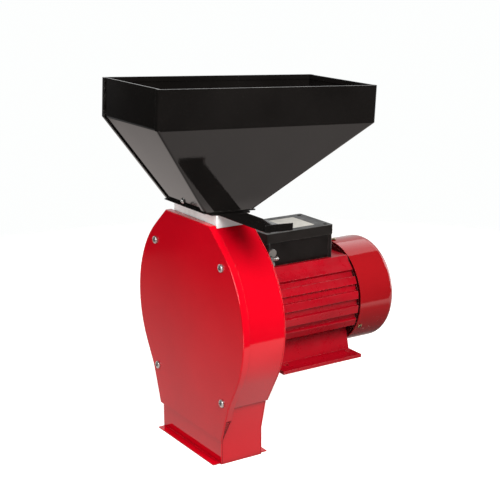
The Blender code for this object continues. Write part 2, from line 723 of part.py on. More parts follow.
def make_shaft():
    shaft = turned("motor_shaft", [
        (0.0, 0.318), (0.0095, 0.318), (0.010, 0.3175), (0.010, 0.282), (SHAFT_R, 0.281),
        (SHAFT_R, 0.270), (0.0125, 0.2695), (0.0125, 0.2535), (0.016, 0.253), (0.016, 0.105),
        (0.0125, 0.1045), (0.0125, 0.088), (SHAFT_R, 0.0875), (SHAFT_R, 0.020), (0.0043, 0.020),
        (0.0043, 0.041), (0.0, 0.041)], steps=24, closed=False)
    place(shaft, STEEL, SHAFT_AXIS)
    seal = ring("shaft_seal", SHAFT_R + GAP, 0.0237, 0.0720, 0.0775, 28)
    place(seal, FELT, SHAFT_AXIS)


def make_fan():
    fan = turned("cooling_fan", [(0.0103, 0.312), (0.019, 0.312), (0.019, 0.2975), (0.074, 0.2975),
                                 (0.074, 0.2945), (0.0103, 0.2945)], steps=36)
    blades = []
    for i in range(7):
        blade = box("blade", (0.017, 0.2960, -0.001), (0.074, 0.3180, 0.001))
        blade.data.transform(Matrix.Rotation(math.radians(360 * i / 7), 4, "Y"))
        blades.append(blade)
    blades = joined("fan_blades", blades)
    boolean(fan, blades, "UNION")
    blades.parent = SHAFT_AXIS
    place(fan, NYLON, SHAFT_AXIS)


def make_fan_cover():
    """Pressed cap with a round shoulder and a ring grille in its end."""
    outer, sheet, round_r = FAN_COVER_R, FAN_COVER_SHEET, FAN_COVER_ROUND_R
    bend = []
    for i in range(5):
        angle = math.radians(90 - 22.5 * i)
        bend.append((outer - round_r + round_r * math.cos(angle),
                     FAN_COVER_END - round_r + round_r * math.sin(angle)))
    inner = [(r, y) for r, y in offset_path(bend, sheet, closed=False)]
    profile = ([(0.0, FAN_COVER_END)] + bend + [(outer, FAN_COVER_START), (outer - sheet, FAN_COVER_START)]
               + list(reversed(inner)) + [(0.0, FAN_COVER_END - sheet)])
    cover = turned("fan_cover", profile, steps=44, closed=False)
    slots = []
    for radius, count in ((0.026, 6), (0.044, 10), (0.062, 14)):
        for i in range(count):
            slot = box("slot", (radius - 0.005, 0.33, -0.006), (radius + 0.005, 0.35, 0.006))
            slot.data.transform(Matrix.Rotation(math.radians(360 * i / count), 4, "Y"))
            slots.append(slot)
    grille = joined("grille_slots", slots)
    boolean(cover, grille)
    grille.parent = SHAFT_AXIS
    place(cover, FAN_RED, SHAFT_AXIS)


def make_fan_cover_screws():
    for number, degrees in enumerate(FAN_COVER_SCREW_DEG, 1):
        seat = FAN_COVER_R + GAP
        screw = turned("fan_cover_screw_%d" % number,
                       [(0.0, 0.0026), (0.0020, 0.0022), (0.0038, 0.0009), (0.0038, 0.0), (0.0, 0.0)],
                       steps=14, closed=False)
        finish(screw, ZINC)
        screw.parent = SHAFT_AXIS
        angle = math.radians(degrees)
        screw.location = (seat * math.cos(angle), 0.2805, seat * math.sin(angle))
        screw.rotation_euler = (0.0, math.pi / 2 - angle, 0.0)


# ---------------------------------------------------------------- terminal box
def corner_spots(inset=0.0065):
    return [(sx * (BOX_HALF - inset), y) for sx in (-1, 1)
            for y in (BOX_Y[0] + inset, BOX_Y[1] - inset)]


def make_terminal_box():
    wall = BOX_WALL
    base = box("terminal_box", (-BOX_HALF, BOX_Y[0], BOX_Z[0]), (BOX_HALF, BOX_Y[1], BOX_Z[1]))
    hollow = box("box_hollow", (wall - BOX_HALF, BOX_Y[0] + wall, BOX_Z[0] + wall),
                 (BOX_HALF - wall, BOX_Y[1] - wall, BOX_Z[1] + 0.01))
    posts = joined("box_posts", [
        box("post", (x - 0.0052, y - 0.0052, BOX_Z[0] + 0.001), (x + 0.0052, y + 0.0052, BOX_Z[1]))
        for x, y in corner_spots()])
    holes = [cylinder("hole", 0.0023, BOX_Z[1] - 0.016, BOX_Z[1] + 0.01, centre=spot, axis="Z", sides=12)
             for spot in corner_spots()]
    holes.append(cylinder("hole", 0.0082, -BOX_HALF - 0.01, 0.01 - BOX_HALF, centre=(GLAND_Y, GLAND_Z),
                          axis="X", sides=24))
    holes = joined("box_holes", holes)
    columns = joined("box_columns", [
        cylinder("column", COLUMN_R, BOX_Z[0], BOX_Z[1] - GAP, centre=spot, axis="Z", sides=20)
        for spot in corner_spots(inset=0.0015)])
    for tool, operation in ((hollow, "DIFFERENCE"), (posts, "UNION"), (columns, "UNION"),
                            (holes, "DIFFERENCE")):
        boolean(base, tool, operation)
        tool.parent = FRONT
    place(base, PLASTIC, FRONT)


def make_box_lid():
    """Lid that drops over the box, with a recessed hole over each post."""
    wall = LID_WALL
    low = BOX_Z[1] + GAP
    lid = box("terminal_box_lid", (-LID_HALF, LID_Y[0], low), (LID_HALF, LID_Y[1], LID_TOP_Z))
    hollow = box("lid_hollow", (wall - LID_HALF, LID_Y[0] + wall, low + 0.003),
                 (LID_HALF - wall, LID_Y[1] - wall, LID_TOP_Z - wall))
    mouth = box("lid_mouth", (0.0055 - LID_HALF, LID_Y[0] + 0.0055, low - 0.01),
                (LID_HALF - 0.0055, LID_Y[1] - 0.0055, low + 0.0035))
    wells = [cylinder("well", 0.0052, low, LID_TOP_Z - 0.001, centre=spot, axis="Z", sides=16)
             for spot in corner_spots()]
    wells = joined("lid_wells", wells)
    bores = []
    for spot in corner_spots():
        bores.append(cylinder("bore", 0.0022, low - 0.01, LID_TOP_Z, centre=spot, axis="Z", sides=16))
        bores.append(cylinder("bore", 0.0040, LID_TOP_Z - 0.004, LID_TOP_Z + 0.01, centre=spot, axis="Z",
                              sides=16))
    boolean(lid, hollow)
    boolean(lid, mouth)
    boolean(lid, wells, "UNION")
    wide = joined("lid_counterbores", bores[1::2])
    narrow = joined("lid_bores", bores[0::2])
    boolean(lid, wide)
    boolean(lid, narrow)
    for tool in (hollow, mouth, wells, wide, narrow):
        tool.parent = FRONT
    place(lid, PLASTIC, FRONT)


def make_lid_screws():
    top = LID_TOP_Z - 0.004 + GAP
    for number, (x, y) in enumerate(corner_spots(), 1):
        screw = turned("lid_screw_%d" % number,
                       [(0.0, 0.0022), (0.0030, 0.0018), (0.0036, 0.0), (0.0018, 0.0), (0.0018, -0.0245),
                        (0.0, -0.0245)], steps=14, closed=False)
        finish(screw, ZINC)
        screw.parent = FRONT
        screw.location = (x, y, top)
        screw.rotation_euler = (0.0, 0.0, 0.0)


def make_box_contents():
    capacitor = cylinder("run_capacitor", 0.0165, 0.130, 0.212, centre=(0.0135, 0.1838), sides=28)
    place(capacitor, NYLON, FRONT)
    block = box("terminal_block", (-0.030, 0.150, 0.1660), (-0.008, 0.200, 0.178))
    place(block, PLASTIC, FRONT)
    gland = turned("cable_gland", [(0.0045, 0.016), (0.0085, 0.016), (0.0105, 0.013), (0.0105, GAP),
                                   (0.0078, GAP), (0.0078, -0.006), (0.0045, -0.006)], steps=16)
    finish(gland, PLASTIC)
    gland.parent = FRONT
    gland.location = (-BOX_HALF, GLAND_Y, GLAND_Z)
    gland.rotation_euler = (0.0, -math.pi / 2, 0.0)


make_front_cover()
make_drum_bands()
make_back_plate()
make_chute()
make_neck()
make_cover_bolts()
make_sieve()
make_hopper()
make_hopper_base()
make_gate()
make_hopper_screws()
make_rotor()
make_hammers()
make_motor_frame()
make_shields()
make_stator()
make_shaft()
make_fan()
make_fan_cover()
make_fan_cover_screws()
make_terminal_box()
make_box_lid()
make_lid_screws()
make_box_contents()
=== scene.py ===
"""Looks for the hammer mill: finer pieces, procedural materials, a pale floor and studio light."""

import json
import math

import bmesh
import bpy
from mathutils import Matrix, Vector


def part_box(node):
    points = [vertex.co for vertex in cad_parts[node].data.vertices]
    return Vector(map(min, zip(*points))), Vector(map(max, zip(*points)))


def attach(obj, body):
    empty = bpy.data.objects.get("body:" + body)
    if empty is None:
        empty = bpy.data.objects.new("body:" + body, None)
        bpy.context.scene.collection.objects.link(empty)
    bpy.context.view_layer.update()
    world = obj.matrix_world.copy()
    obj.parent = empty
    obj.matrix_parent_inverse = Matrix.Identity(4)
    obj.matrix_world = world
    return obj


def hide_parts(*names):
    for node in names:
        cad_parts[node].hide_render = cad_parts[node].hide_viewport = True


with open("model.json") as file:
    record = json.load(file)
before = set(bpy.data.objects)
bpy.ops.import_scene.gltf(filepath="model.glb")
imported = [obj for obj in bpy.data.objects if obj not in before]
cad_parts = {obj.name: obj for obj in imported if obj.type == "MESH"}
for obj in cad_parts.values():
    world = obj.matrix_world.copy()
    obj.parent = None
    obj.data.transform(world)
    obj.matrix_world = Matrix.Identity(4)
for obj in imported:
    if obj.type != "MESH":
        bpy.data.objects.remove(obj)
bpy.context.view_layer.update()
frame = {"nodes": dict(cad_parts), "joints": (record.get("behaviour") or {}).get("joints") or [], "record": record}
NODES = frame["nodes"]
JOINTS = {joint["name"]: joint for joint in frame["joints"]}
SLOTS = {entry["node"]: entry["material_slot"] for entry in frame["record"]["subparts"]}
BODY = {node: body for body, nodes in frame["record"]["behaviour"]["bodies"].items() for node in nodes}
SHAFT = Vector(JOINTS["rotor_spin"]["pos_m"])
LEAN = math.radians(-2.87)          # the hopper, its base and the gate lean back on the neck
MM = 0.001

CAMERA_PLACE = (1.54721, -1.07605, 0.6684)
AZIMUTH = math.radians(57.2265)
ELEVATION = math.radians(15.5404)
SENSOR_MM = 36.0
LENS_MM = 86.12
LENS_SHIFT = (-0.0053, 0.0300)

FLOOR_RADIUS = 1.5
FLOOR_FADE = 0.80            # share of the radius where the floor starts to fade into the backdrop
FLOOR_BELOW = 0.4 * MM       # gap between the chute's lips and the floor
FLOOR_BOUNCE = 0.24
TABLE_X = (-1.15, 0.58)      # edges of the bright table top as gloss sees it
TABLE_Y = (-0.85, 0.20)      # its brightness rises from dim to full between these
TABLE_SHINE = 1.10
EDGE_SHINE = 0.02            # what is left of it past an edge
STEEP = (0.40, 0.46)         # gloss rays coming down at this slope see the table beyond its edge
STEEP_SHINE = 0.66
UNDER_MOTOR = (0.15, 0.28, 0.0)     # middle of the motor's shade
UNDER_RIM = (0.55, -0.85, 0.0)      # middle of the bright patch that the cover's rim mirrors
SUBJECT = (0.0, 0.0, 0.15)          # where the lights point

CROSS_TURN = 0.35                   # how far the screws' cross recesses are turned


# ---------------------------------------------------------------- materials
class Tree:
    """A node material with one Principled shader and short calls to add to it."""

    def __init__(self, name):
        self.material = bpy.data.materials.new(name)
        self.material.use_nodes = True
        self.nodes = self.material.node_tree.nodes
        self.shader = self.nodes["Principled BSDF"]
        self.height = None

    def node(self, kind, **settings):
        made = self.nodes.new(kind)
        for key, value in settings.items():
            setattr(made, key, value)
        return made

    def link(self, source, target):
        self.material.node_tree.links.new(source, target)

    def place(self, stretch=(1.0, 1.0, 1.0)):
        """Position in the object's own space."""
        coordinates = self.node("ShaderNodeTexCoord")
        mapping = self.node("ShaderNodeMapping")
        mapping.inputs["Scale"].default_value = stretch
        self.link(coordinates.outputs["Object"], mapping.inputs["Vector"])
        return mapping.outputs["Vector"]

    def noise(self, scale, detail=3.0, stretch=(1.0, 1.0, 1.0), roughness=0.5, distortion=0.0):
        made = self.node("ShaderNodeTexNoise")
        made.inputs["Scale"].default_value = scale
        made.inputs["Detail"].default_value = detail
        made.inputs["Roughness"].default_value = roughness
        made.inputs["Distortion"].default_value = distortion
        self.link(self.place(stretch), made.inputs["Vector"])
        return made.outputs["Fac"]

    def ramp(self, source, low, high, to_low=0.0, to_high=1.0):
        """Smooth step between two levels."""
        made = self.node("ShaderNodeMapRange", interpolation_type="SMOOTHSTEP")
        for key, value in (("From Min", low), ("From Max", high), ("To Min", to_low), ("To Max", to_high)):
            made.inputs[key].default_value = value
        self.link(source, made.inputs["Value"])
        return made.outputs["Result"]

    def times(self, first, second):
        """Product of a socket and a socket or a number."""
        made = self.node("ShaderNodeMath", operation="MULTIPLY")
        for socket, value in zip(made.inputs, (first, second)):
            if isinstance(value, float):
                socket.default_value = value
            else:
                self.link(value, socket)
        return made.outputs[0]

    def reach(self, spot):
        """Distance from a point in the object's own space."""
        made = self.node("ShaderNodeVectorMath", operation="DISTANCE")
        self.link(self.place(), made.inputs[0])
        made.inputs[1].default_value = spot
        return made.outputs["Value"]

    def highest(self, first, second):
        made = self.node("ShaderNodeMath", operation="MAXIMUM")
        self.link(first, made.inputs[0])
        self.link(second, made.inputs[1])
        return made.outputs[0]

    def mix(self, factor, first, second):
        """Colour mix; first and second are colours or sockets."""
        made = self.node("ShaderNodeMix", data_type="RGBA")
        self.link(factor, made.inputs["Factor"])
        for socket, value in ((made.inputs[6], first), (made.inputs[7], second)):
            if isinstance(value, tuple):
                socket.default_value = (*value, 1.0)
            else:
                self.link(value, socket)
        return made.outputs[2]

    def colour(self, value):
        target = self.shader.inputs["Base Color"]
        if isinstance(value, tuple):
            target.default_value = (*value, 1.0)
        else:
            self.link(value, target)

    def roughness(self, source):
        self.link(source, self.shader.inputs["Roughness"])

    def bump(self, source, shade_factor, strength=1.0):
        """Add a layer of relief, depth in metres."""
        made = self.node("ShaderNodeBump")
        made.inputs["Strength"].default_value = strength
        made.inputs["Distance"].default_value = shade_factor
        self.link(source, made.inputs["Height"])
        if self.height is not None:
            self.link(self.height, made.inputs["Normal"])
        self.height = made.outputs["Normal"]
        self.link(self.height, self.shader.inputs["Normal"])

    def edges(self, radius, low=0.03, high=0.30):
        """1 within the radius of an edge, 0 on flat ground."""
        soft = self.node("ShaderNodeBevel", samples=4)
        soft.inputs["Radius"].default_value = radius
        flat = self.node("ShaderNodeNewGeometry")
        dot = self.node("ShaderNodeVectorMath", operation="DOT_PRODUCT")
        self.link(soft.outputs["Normal"], dot.inputs[0])
        self.link(flat.outputs["Normal"], dot.inputs[1])
        away = self.node("ShaderNodeMath", operation="SUBTRACT")
        away.inputs[0].default_value = 1.0
        self.link(dot.outputs["Value"], away.inputs[1])
        return self.ramp(away.outputs[0], low, high)

    def crevices(self, reach):
        """1 in corners and gaps, 0 in the open."""
        made = self.node("ShaderNodeAmbientOcclusion", samples=4)
        made.inputs["Distance"].default_value = reach
        return self.ramp(made.outputs["AO"], 0.85, 0.25)

    def constants(self, **values):
        """Values for the shader's own sockets."""
        for key, value in values.items():
            self.shader.inputs[key.replace("_", " ").title().replace("Ior", "IOR")].default_value = value


def shaded(colour, factor):
    """A colour made darker or lighter."""
    return tuple(min(1.0, part * factor) for part in colour)


def enamel(name, colour, gloss, peel, chips=0.5, crevice_shade_strength=0.35, scuffs=None):
    """Stoved enamel on sheet metal: orange peel, soft waves in the sheet, worn edges and painted shade in its
    corners and gaps.
    """
    tree = Tree(name)
    cloud = tree.ramp(tree.noise(5.0, 4.0), 0.25, 0.75)
    base = tree.mix(cloud, shaded(colour, 0.90), shaded(colour, 1.06))
    # painted shade: the colour darkens in corners and gaps, where shade falls
    crevice_shade = tree.times(tree.crevices(0.014), crevice_shade_strength)
    base = tree.mix(crevice_shade, base, shaded(colour, 0.18))
    worn = tree.times(tree.edges(0.0009), tree.ramp(tree.noise(150.0, 5.0, roughness=0.7), 0.56, 0.66))
    base = tree.mix(tree.times(worn, chips), base, (0.30, 0.27, 0.26))
    rough = tree.ramp(tree.noise(14.0, 6.0, roughness=0.65), 0.30, 0.75, gloss * 0.75, gloss * 1.45)
    if scuffs is not None:
        centre, reach, amount = scuffs
        spot = tree.ramp(tree.reach(centre), reach, reach * 0.35)
        streak = tree.ramp(tree.noise(130.0, 6.0, (1.0, 1.6, 0.5), 0.75, 1.2), 0.60, 0.66)
        scuff = tree.times(tree.times(spot, streak), amount)
        base = tree.mix(scuff, base, (0.62, 0.50, 0.48))
        rough = tree.highest(rough, tree.times(scuff, 0.6))
    tree.colour(base)
    tree.roughness(rough)
    tree.bump(tree.noise(9.0, 1.0), 0.0009, 0.30)
    tree.bump(tree.noise(520.0, 2.0), 0.00006, peel)
    tree.constants(ior=1.52)
    return tree.material


def red_enamel():
    """Bright red of the drum, its cover and the chute."""
    return enamel("red_enamel_paint", (0.60, 0.0012, 0.010), 0.06, 0.25, chips=0.30, crevice_shade_strength=0.80)


def frame_red(name="frame_red_paint", shade_factor=1.0):
    """Enamel brushed over a casting: rougher skin, painted shade in its joints and hollows, chips on the ribs. The
    second argument darkens the whole paint, as painted shade for a part that sits in shade.
    """
    tree = Tree(name)
    colour = shaded((0.36, 0.0012, 0.0085), shade_factor)
    cloud = tree.ramp(tree.noise(22.0, 5.0, (1.0, 0.25, 1.0), 0.6), 0.3, 0.7)
    base = tree.mix(cloud, shaded(colour, 0.78), shaded(colour, 1.08))
    # painted shade: broad darkening where the casting is hemmed in, such as the web under the motor's body
    base = tree.mix(tree.times(tree.crevices(0.045), 0.45), base, shaded(colour, 0.35))
    # painted shade: dark lines in the narrow grooves, under each rib
    crevice_shade = tree.times(tree.crevices(0.005), 0.55)
    base = tree.mix(crevice_shade, base, shaded(colour, 0.22))
    chip = tree.times(tree.edges(0.0012), tree.ramp(tree.noise(190.0, 5.0, roughness=0.7), 0.38, 0.55))
    base = tree.mix(tree.times(chip, 0.60), base, (0.52, 0.20, 0.20))
    tree.colour(base)
    tree.roughness(tree.ramp(tree.noise(40.0, 6.0, roughness=0.7), 0.3, 0.7, 0.20, 0.42))
    tree.bump(tree.noise(260.0, 4.0, roughness=0.6), 0.00035, 0.30)
    tree.bump(tree.noise(30.0, 2.0, (1.0, 0.3, 1.0)), 0.0008, 0.35)
    tree.constants(ior=1.5)
    return tree.material


def fan_cover_red():
    """Darker red, with one scuffed spot low on the side."""
    spot = (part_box("fan_cover")[1].x * 0.80, 0.055, 0.036)
    return enamel("fan_cover_paint", (0.31, 0.006, 0.009), 0.07, 0.25, 0.35, 0.35, (spot, 0.034, 0.6))


def black_enamel():
    """Glossy black of the hopper and the gate, with specks of dust."""
    tree = Tree("black_enamel_paint")
    colour = (0.0058, 0.0050, 0.0046)
    cloud = tree.ramp(tree.noise(7.0, 4.0), 0.3, 0.7)
    base = tree.mix(cloud, shaded(colour, 0.8), shaded(colour, 1.3))
    worn = tree.times(tree.edges(0.0008, 0.05, 0.35),
                      tree.ramp(tree.noise(120.0, 5.0, roughness=0.75), 0.40, 0.55))
    base = tree.mix(tree.times(worn, 0.75), base, (0.26, 0.24, 0.22))
    dust = tree.ramp(tree.noise(900.0, 2.0), 0.70, 0.76)
    base = tree.mix(tree.times(dust, 0.25), base, (0.12, 0.11, 0.10))
    tree.colour(base)
    tree.roughness(tree.ramp(tree.noise(11.0, 6.0, roughness=0.7), 0.3, 0.75, 0.025, 0.075))
    tree.bump(tree.noise(10.0, 1.0), 0.0009, 0.25)
    tree.bump(tree.noise(480.0, 2.0), 0.00008, 0.35)
    tree.constants(ior=1.55)
    return tree.material


def black_plastic(name="black_plastic_moulding", colour=(0.0085, 0.0070, 0.0062)):
    """Moulded plastic with a fine spark-eroded grain."""
    tree = Tree(name)
    base = tree.mix(tree.ramp(tree.noise(30.0, 4.0), 0.3, 0.7), shaded(colour, 0.85), shaded(colour, 1.2))
    worn = tree.times(tree.edges(0.0011, 0.03, 0.25), tree.ramp(tree.noise(150.0, 4.0), 0.30, 0.55))
    base = tree.mix(tree.times(worn, 0.7), base, (0.13, 0.12, 0.11))
    tree.colour(base)
    tree.roughness(tree.ramp(tree.noise(60.0, 5.0), 0.3, 0.7, 0.36, 0.52))
    tree.bump(tree.noise(1400.0, 2.0), 0.00012, 0.6)
    tree.constants(ior=1.48)
    return tree.material


def bright_metal(name, colour, low, high, grain=(1.0, 1.0, 1.0), tarnish=(0.30, 0.28, 0.25), amount=0.35,
                 metallic=1.0):
    """Bare or plated metal with stains, and painted shade in its recesses."""
    tree = Tree(name)
    stain = tree.ramp(tree.noise(90.0, 5.0, roughness=0.65), 0.42, 0.75)
    base = tree.mix(tree.times(stain, amount), colour, tarnish)
    # painted shade: darker in recesses, such as the screws' cross slots
    base = tree.mix(tree.times(tree.crevices(0.0045), 0.9), base, shaded(tarnish, 0.20))
    tree.colour(base)
    tree.roughness(tree.ramp(tree.noise(220.0, 5.0, grain), 0.3, 0.7, low, high))
    tree.bump(tree.noise(700.0, 3.0, grain), 0.00006, 0.5)
    tree.constants(metallic=metallic)
    return tree.material


def galvanised():
    """Hot-dipped neck: pale spangles under a thin bloom of zinc oxide, and painted shade in its corners."""
    tree = Tree("galvanised_sheet")
    cells = tree.node("ShaderNodeTexVoronoi")
    cells.inputs["Scale"].default_value = 160.0
    tree.link(tree.place(), cells.inputs["Vector"])
    tone = tree.node("ShaderNodeRGBToBW")
    tree.link(cells.outputs["Color"], tone.inputs["Color"])
    base = tree.mix(tree.ramp(tone.outputs["Val"], 0.2, 0.8), (0.95, 0.925, 0.90), (0.98, 0.965, 0.945))
    stain = tree.ramp(tree.noise(35.0, 5.0, (1.0, 1.0, 0.5)), 0.50, 0.78)
    base = tree.mix(tree.times(stain, 0.35), base, (0.42, 0.39, 0.36))
    # painted shade: darker in corners and gaps
    base = tree.mix(tree.times(tree.crevices(0.004), 0.5), base, (0.18, 0.15, 0.14))
    tree.colour(base)
    tree.roughness(tree.ramp(tone.outputs["Val"], 0.1, 0.9, 0.38, 0.55))
    tree.bump(tree.noise(300.0, 3.0), 0.0001, 0.4)
    return tree.material


def felt():
    tree = Tree("pressed_felt")
    fibres = tree.noise(1500.0, 5.0, (1.0, 4.0, 1.0), 0.8)
    tree.colour(tree.mix(tree.ramp(fibres, 0.35, 0.65), (0.17, 0.155, 0.135), (0.33, 0.31, 0.27)))
    tree.roughness(tree.ramp(fibres, 0.3, 0.7, 0.85, 1.0))
    tree.bump(fibres, 0.0004, 0.8)
    return tree.material


def nylon():
    tree = Tree("white_nylon_moulding")
    tree.colour(tree.mix(tree.ramp(tree.noise(50.0, 4.0), 0.3, 0.7), (0.66, 0.65, 0.61), (0.74, 0.73, 0.69)))
    tree.roughness(tree.ramp(tree.noise(80.0, 4.0), 0.3, 0.7, 0.38, 0.55))
    tree.bump(tree.noise(900.0, 2.0), 0.00008, 0.4)
    tree.constants(subsurface_weight=0.05)
    return tree.material


def laminations():
    """Stacked sheets that show as fine rings along the shaft."""
    tree = Tree("laminated_steel")
    stripes = tree.node("ShaderNodeTexWave", wave_type="BANDS", bands_direction="Y")
    stripes.inputs["Scale"].default_value = 300.0
    stripes.inputs["Distortion"].default_value = 0.6
    tree.link(tree.place(), stripes.inputs["Vector"])
    line = stripes.outputs["Fac"]
    tree.colour(tree.mix(line, (0.07, 0.07, 0.075), (0.20, 0.20, 0.21)))
    tree.roughness(tree.ramp(tree.noise(60.0, 4.0), 0.3, 0.7, 0.38, 0.6))
    tree.bump(line, 0.0002, 0.5)
    tree.constants(metallic=0.85)
    return tree.material


def label_stock():
    """Blank plate: pale and a little yellowed."""
    tree = Tree("blank_label")
    tone = tree.ramp(tree.noise(45.0, 5.0), 0.3, 0.75)
    tree.colour(tree.mix(tone, (0.52, 0.49, 0.43), (0.60, 0.57, 0.51)))
    tree.roughness(tree.ramp(tree.noise(120.0, 4.0), 0.3, 0.7, 0.30, 0.50))
    tree.bump(tree.noise(60.0, 3.0), 0.0002, 0.3)
    return tree.material


def make_looks():
    """A finish for every material slot, and two for parts of a slot."""
    return {
        "red_enamel": red_enamel(),
        "fan_cover_red": fan_cover_red(),
        "black_enamel": black_enamel(),
        "dull_zinc": bright_metal("dull_zinc_plating", (0.36, 0.35, 0.34), 0.32, 0.50),
        "brass": bright_metal("passivated_screw", (0.62, 0.50, 0.28), 0.25, 0.45),
        "zinc_plate": bright_metal("zinc_plating", (0.74, 0.73, 0.71), 0.20, 0.36, metallic=0.80),
        "bare_galvanised": galvanised(),
        "machined_steel": bright_metal("turned_steel", (0.45, 0.45, 0.455), 0.24, 0.42, (1.0, 6.0, 1.0)),
        "hardened_steel": bright_metal("hardened_steel_skin", (0.20, 0.195, 0.20), 0.35, 0.55, amount=0.5,
                                       tarnish=(0.12, 0.085, 0.06)),
        "cast_aluminium": bright_metal("sand_cast_aluminium", (0.50, 0.50, 0.50), 0.45, 0.65, amount=0.25),
        "electrical_steel": laminations(),
        "black_plastic": black_plastic(),
        "felt": felt(),
        "white_nylon": nylon(),
    }


# ---------------------------------------------------------------- shapes
def mesh_object(name, bm):
    mesh = bpy.data.meshes.new(name)
    bm.to_mesh(mesh)
    bm.free()
    return bpy.data.objects.new(name, mesh)


def clean_copy(node):
    """Mesh of a CAD node, welded, with each flat face in one piece."""
    bm = bmesh.new()
    bm.from_mesh(NODES[node].data)
    bmesh.ops.remove_doubles(bm, verts=bm.verts, dist=0.00002)
    bmesh.ops.dissolve_limit(bm, angle_limit=math.radians(0.4), verts=bm.verts, edges=bm.edges)
    return bm


def turn_of(edge):
    """Angle between an edge's two faces in degrees, 0 where it has no two."""
    return abs(math.degrees(edge.calc_face_angle(0.0)))


def round_over(bm, edges, radius, segments):
    bmesh.ops.bevel(bm, geom=edges, offset=radius, segments=segments, profile=0.5, affect="EDGES",
                    clamp_overlap=True)


def soften(obj, width, segments=2, angle=30.0):
    """Small radius on every edge and smooth shading between them."""
    if width:
        bevel = obj.modifiers.new("rounded_edges", "BEVEL")
        bevel.width = width
        bevel.segments = segments
        bevel.limit_method = "ANGLE"
        bevel.angle_limit = math.radians(angle)
    obj.data.shade_smooth()
    obj.data.set_sharp_from_angle(angle=math.radians(angle))
    flat = obj.modifiers.new("flat_faces", "WEIGHTED_NORMAL")
    flat.weight = 100
    flat.keep_sharp = True


def show(obj, body, nodes=(), slot=None, look=None):
    """Put a piece in the scene on its body, in place of CAD nodes, with its finish."""
    bpy.context.scene.collection.objects.link(obj)
    slot = slot or SLOTS[nodes[0]]
    obj.data.materials.clear()
    obj.data.materials.append(look or LOOKS[slot])
    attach(obj, body)
    if nodes:
        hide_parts(*nodes)
    return obj


def refine(node, width, segments=2, angle=30.0, shape=None, look=None):
    """Finer stand-in for a CAD node: the same solid with rounded edges."""
    bm = clean_copy(node)
    if shape is not None:
        shape(bm)
    obj = mesh_object(node + "_fine", bm)
    soften(obj, width, segments, angle)
    return show(obj, BODY[node], (node,), look=look)


def lathe(profile, steps=64, closed=False):
    """Turn a profile of (radius, along) points about the Z axis."""
    bm = bmesh.new()
    rings = []
    for radius, along in profile:
        count = steps if radius > 1e-7 else 1
        turns = [2 * math.pi * i / count for i in range(count)]
        rings.append([bm.verts.new((radius * math.cos(t), radius * math.sin(t), along)) for t in turns])
    pairs = list(zip(rings, rings[1:]))
    if closed:
        pairs.append((rings[-1], rings[0]))
    for first, second in pairs:
        for i in range(steps):
            j = (i + 1) % steps
            corners = [first[i % len(first)], first[j % len(first)],
                       second[j % len(second)], second[i % len(second)]]
            bm.faces.new(list(dict.fromkeys(corners)))
    bmesh.ops.recalc_face_normals(bm, faces=bm.faces)
    return bm


def filleted(points, radius, segments=5):
    """Round the inner corners of an open path of 2-D points."""
    path = [points[0]]
    for before, corner, after in zip(points, points[1:], points[2:]):
        corner = Vector(corner)
        to_before = Vector(before) - corner
        to_after = Vector(after) - corner
        half = to_before.angle(to_after) / 2
        reach = min(radius / math.tan(half), to_before.length * 0.45, to_after.length * 0.45)
        start = corner + to_before.normalized() * reach
        end = corner + to_after.normalized() * reach
        for i in range(segments + 1):
            share = i / segments
            path.append(tuple(start * (1 - share) ** 2 + corner * 2 * share * (1 - share) + end * share ** 2))
    path.append(points[-1])
    return path


def cut(obj, tool_bm):
    """Cut a shape out of an object and keep the result as its mesh."""
    tool = mesh_object("tool", tool_bm)
    for item in (obj, tool):
        bpy.context.scene.collection.objects.link(item)
    step = obj.modifiers.new("cut", "BOOLEAN")
    step.operation = "DIFFERENCE"
    step.object = tool
    step.solver = "EXACT"
    depsgraph = bpy.context.evaluated_depsgraph_get()
    mesh = bpy.data.meshes.new_from_object(obj.evaluated_get(depsgraph))
    obj.modifiers.remove(step)
    obj.data = mesh
    bpy.context.scene.collection.objects.unlink(obj)
    bpy.data.objects.remove(tool, do_unlink=True)


def along_y(position):
    """Local Z to the row's +Y, at a point."""
    return Matrix.Translation(position) @ Matrix.Rotation(-math.pi / 2, 4, "X")


def centre(node):
    low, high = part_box(node)
    return (low + high) / 2


# ---------------------------------------------------------------- drum and chute
def cover_shape(bm):
    """Larger radius round the outside of the cover's face, away from its screws and its lower edge."""
    face_y, low_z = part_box("front_cover")[0].yz
    bolts = [centre("cover_bolt_%d" % i) for i in range(1, 5)]

    def near_bolt(point):
        return any(math.hypot(point.x - b.x, point.z - b.z) < 6 * MM for b in bolts)

    rim = [edge for edge in bm.edges if turn_of(edge) > 60
           and all(abs(v.co.y - face_y) < 0.05 * MM for v in edge.verts)
           and not near_bolt(edge.verts[0].co)
           and max(v.co.z for v in edge.verts) > low_z + 0.5 * MM]
    round_over(bm, rim, 4.2 * MM, 6)


def make_drum():
    refine("front_cover", 0.3 * MM, shape=cover_shape)
    for side in ("left", "right"):
        refine("drum_band_" + side, 0.3 * MM)
        refine("chute_side_" + side, 0.4 * MM)
    refine("drum_back_plate", 0.6 * MM)
    refine("chute_front_panel", 0.5 * MM)
    refine("inlet_neck", 0.5 * MM)


def screw_bm(head_r, head_h, shank_r, length, steps=32, thread=0.0):
    """Pan-head screw with its seat at 0, head towards -Z and shank towards +Z."""
    dome = [(head_r * math.sin(a), -head_h * (0.45 + 0.55 * math.cos(a)))
            for a in [math.radians(12 * i) for i in range(8)]]
    profile = [(0.0, -head_h)] + dome[1:] + [(head_r, -head_h * 0.35), (head_r, 0.0), (shank_r, 0.0)]
    if thread:
        turns = int(length * 0.45 / thread)
        start = length - turns * thread - 0.3 * MM
        for i in range(turns):
            profile += [(shank_r, start + thread * i), (shank_r * 0.84, start + thread * (i + 0.5))]
    profile += [(shank_r, length - 0.3 * MM), (shank_r * 0.8, length), (0.0, length)]
    return lathe(profile, steps)


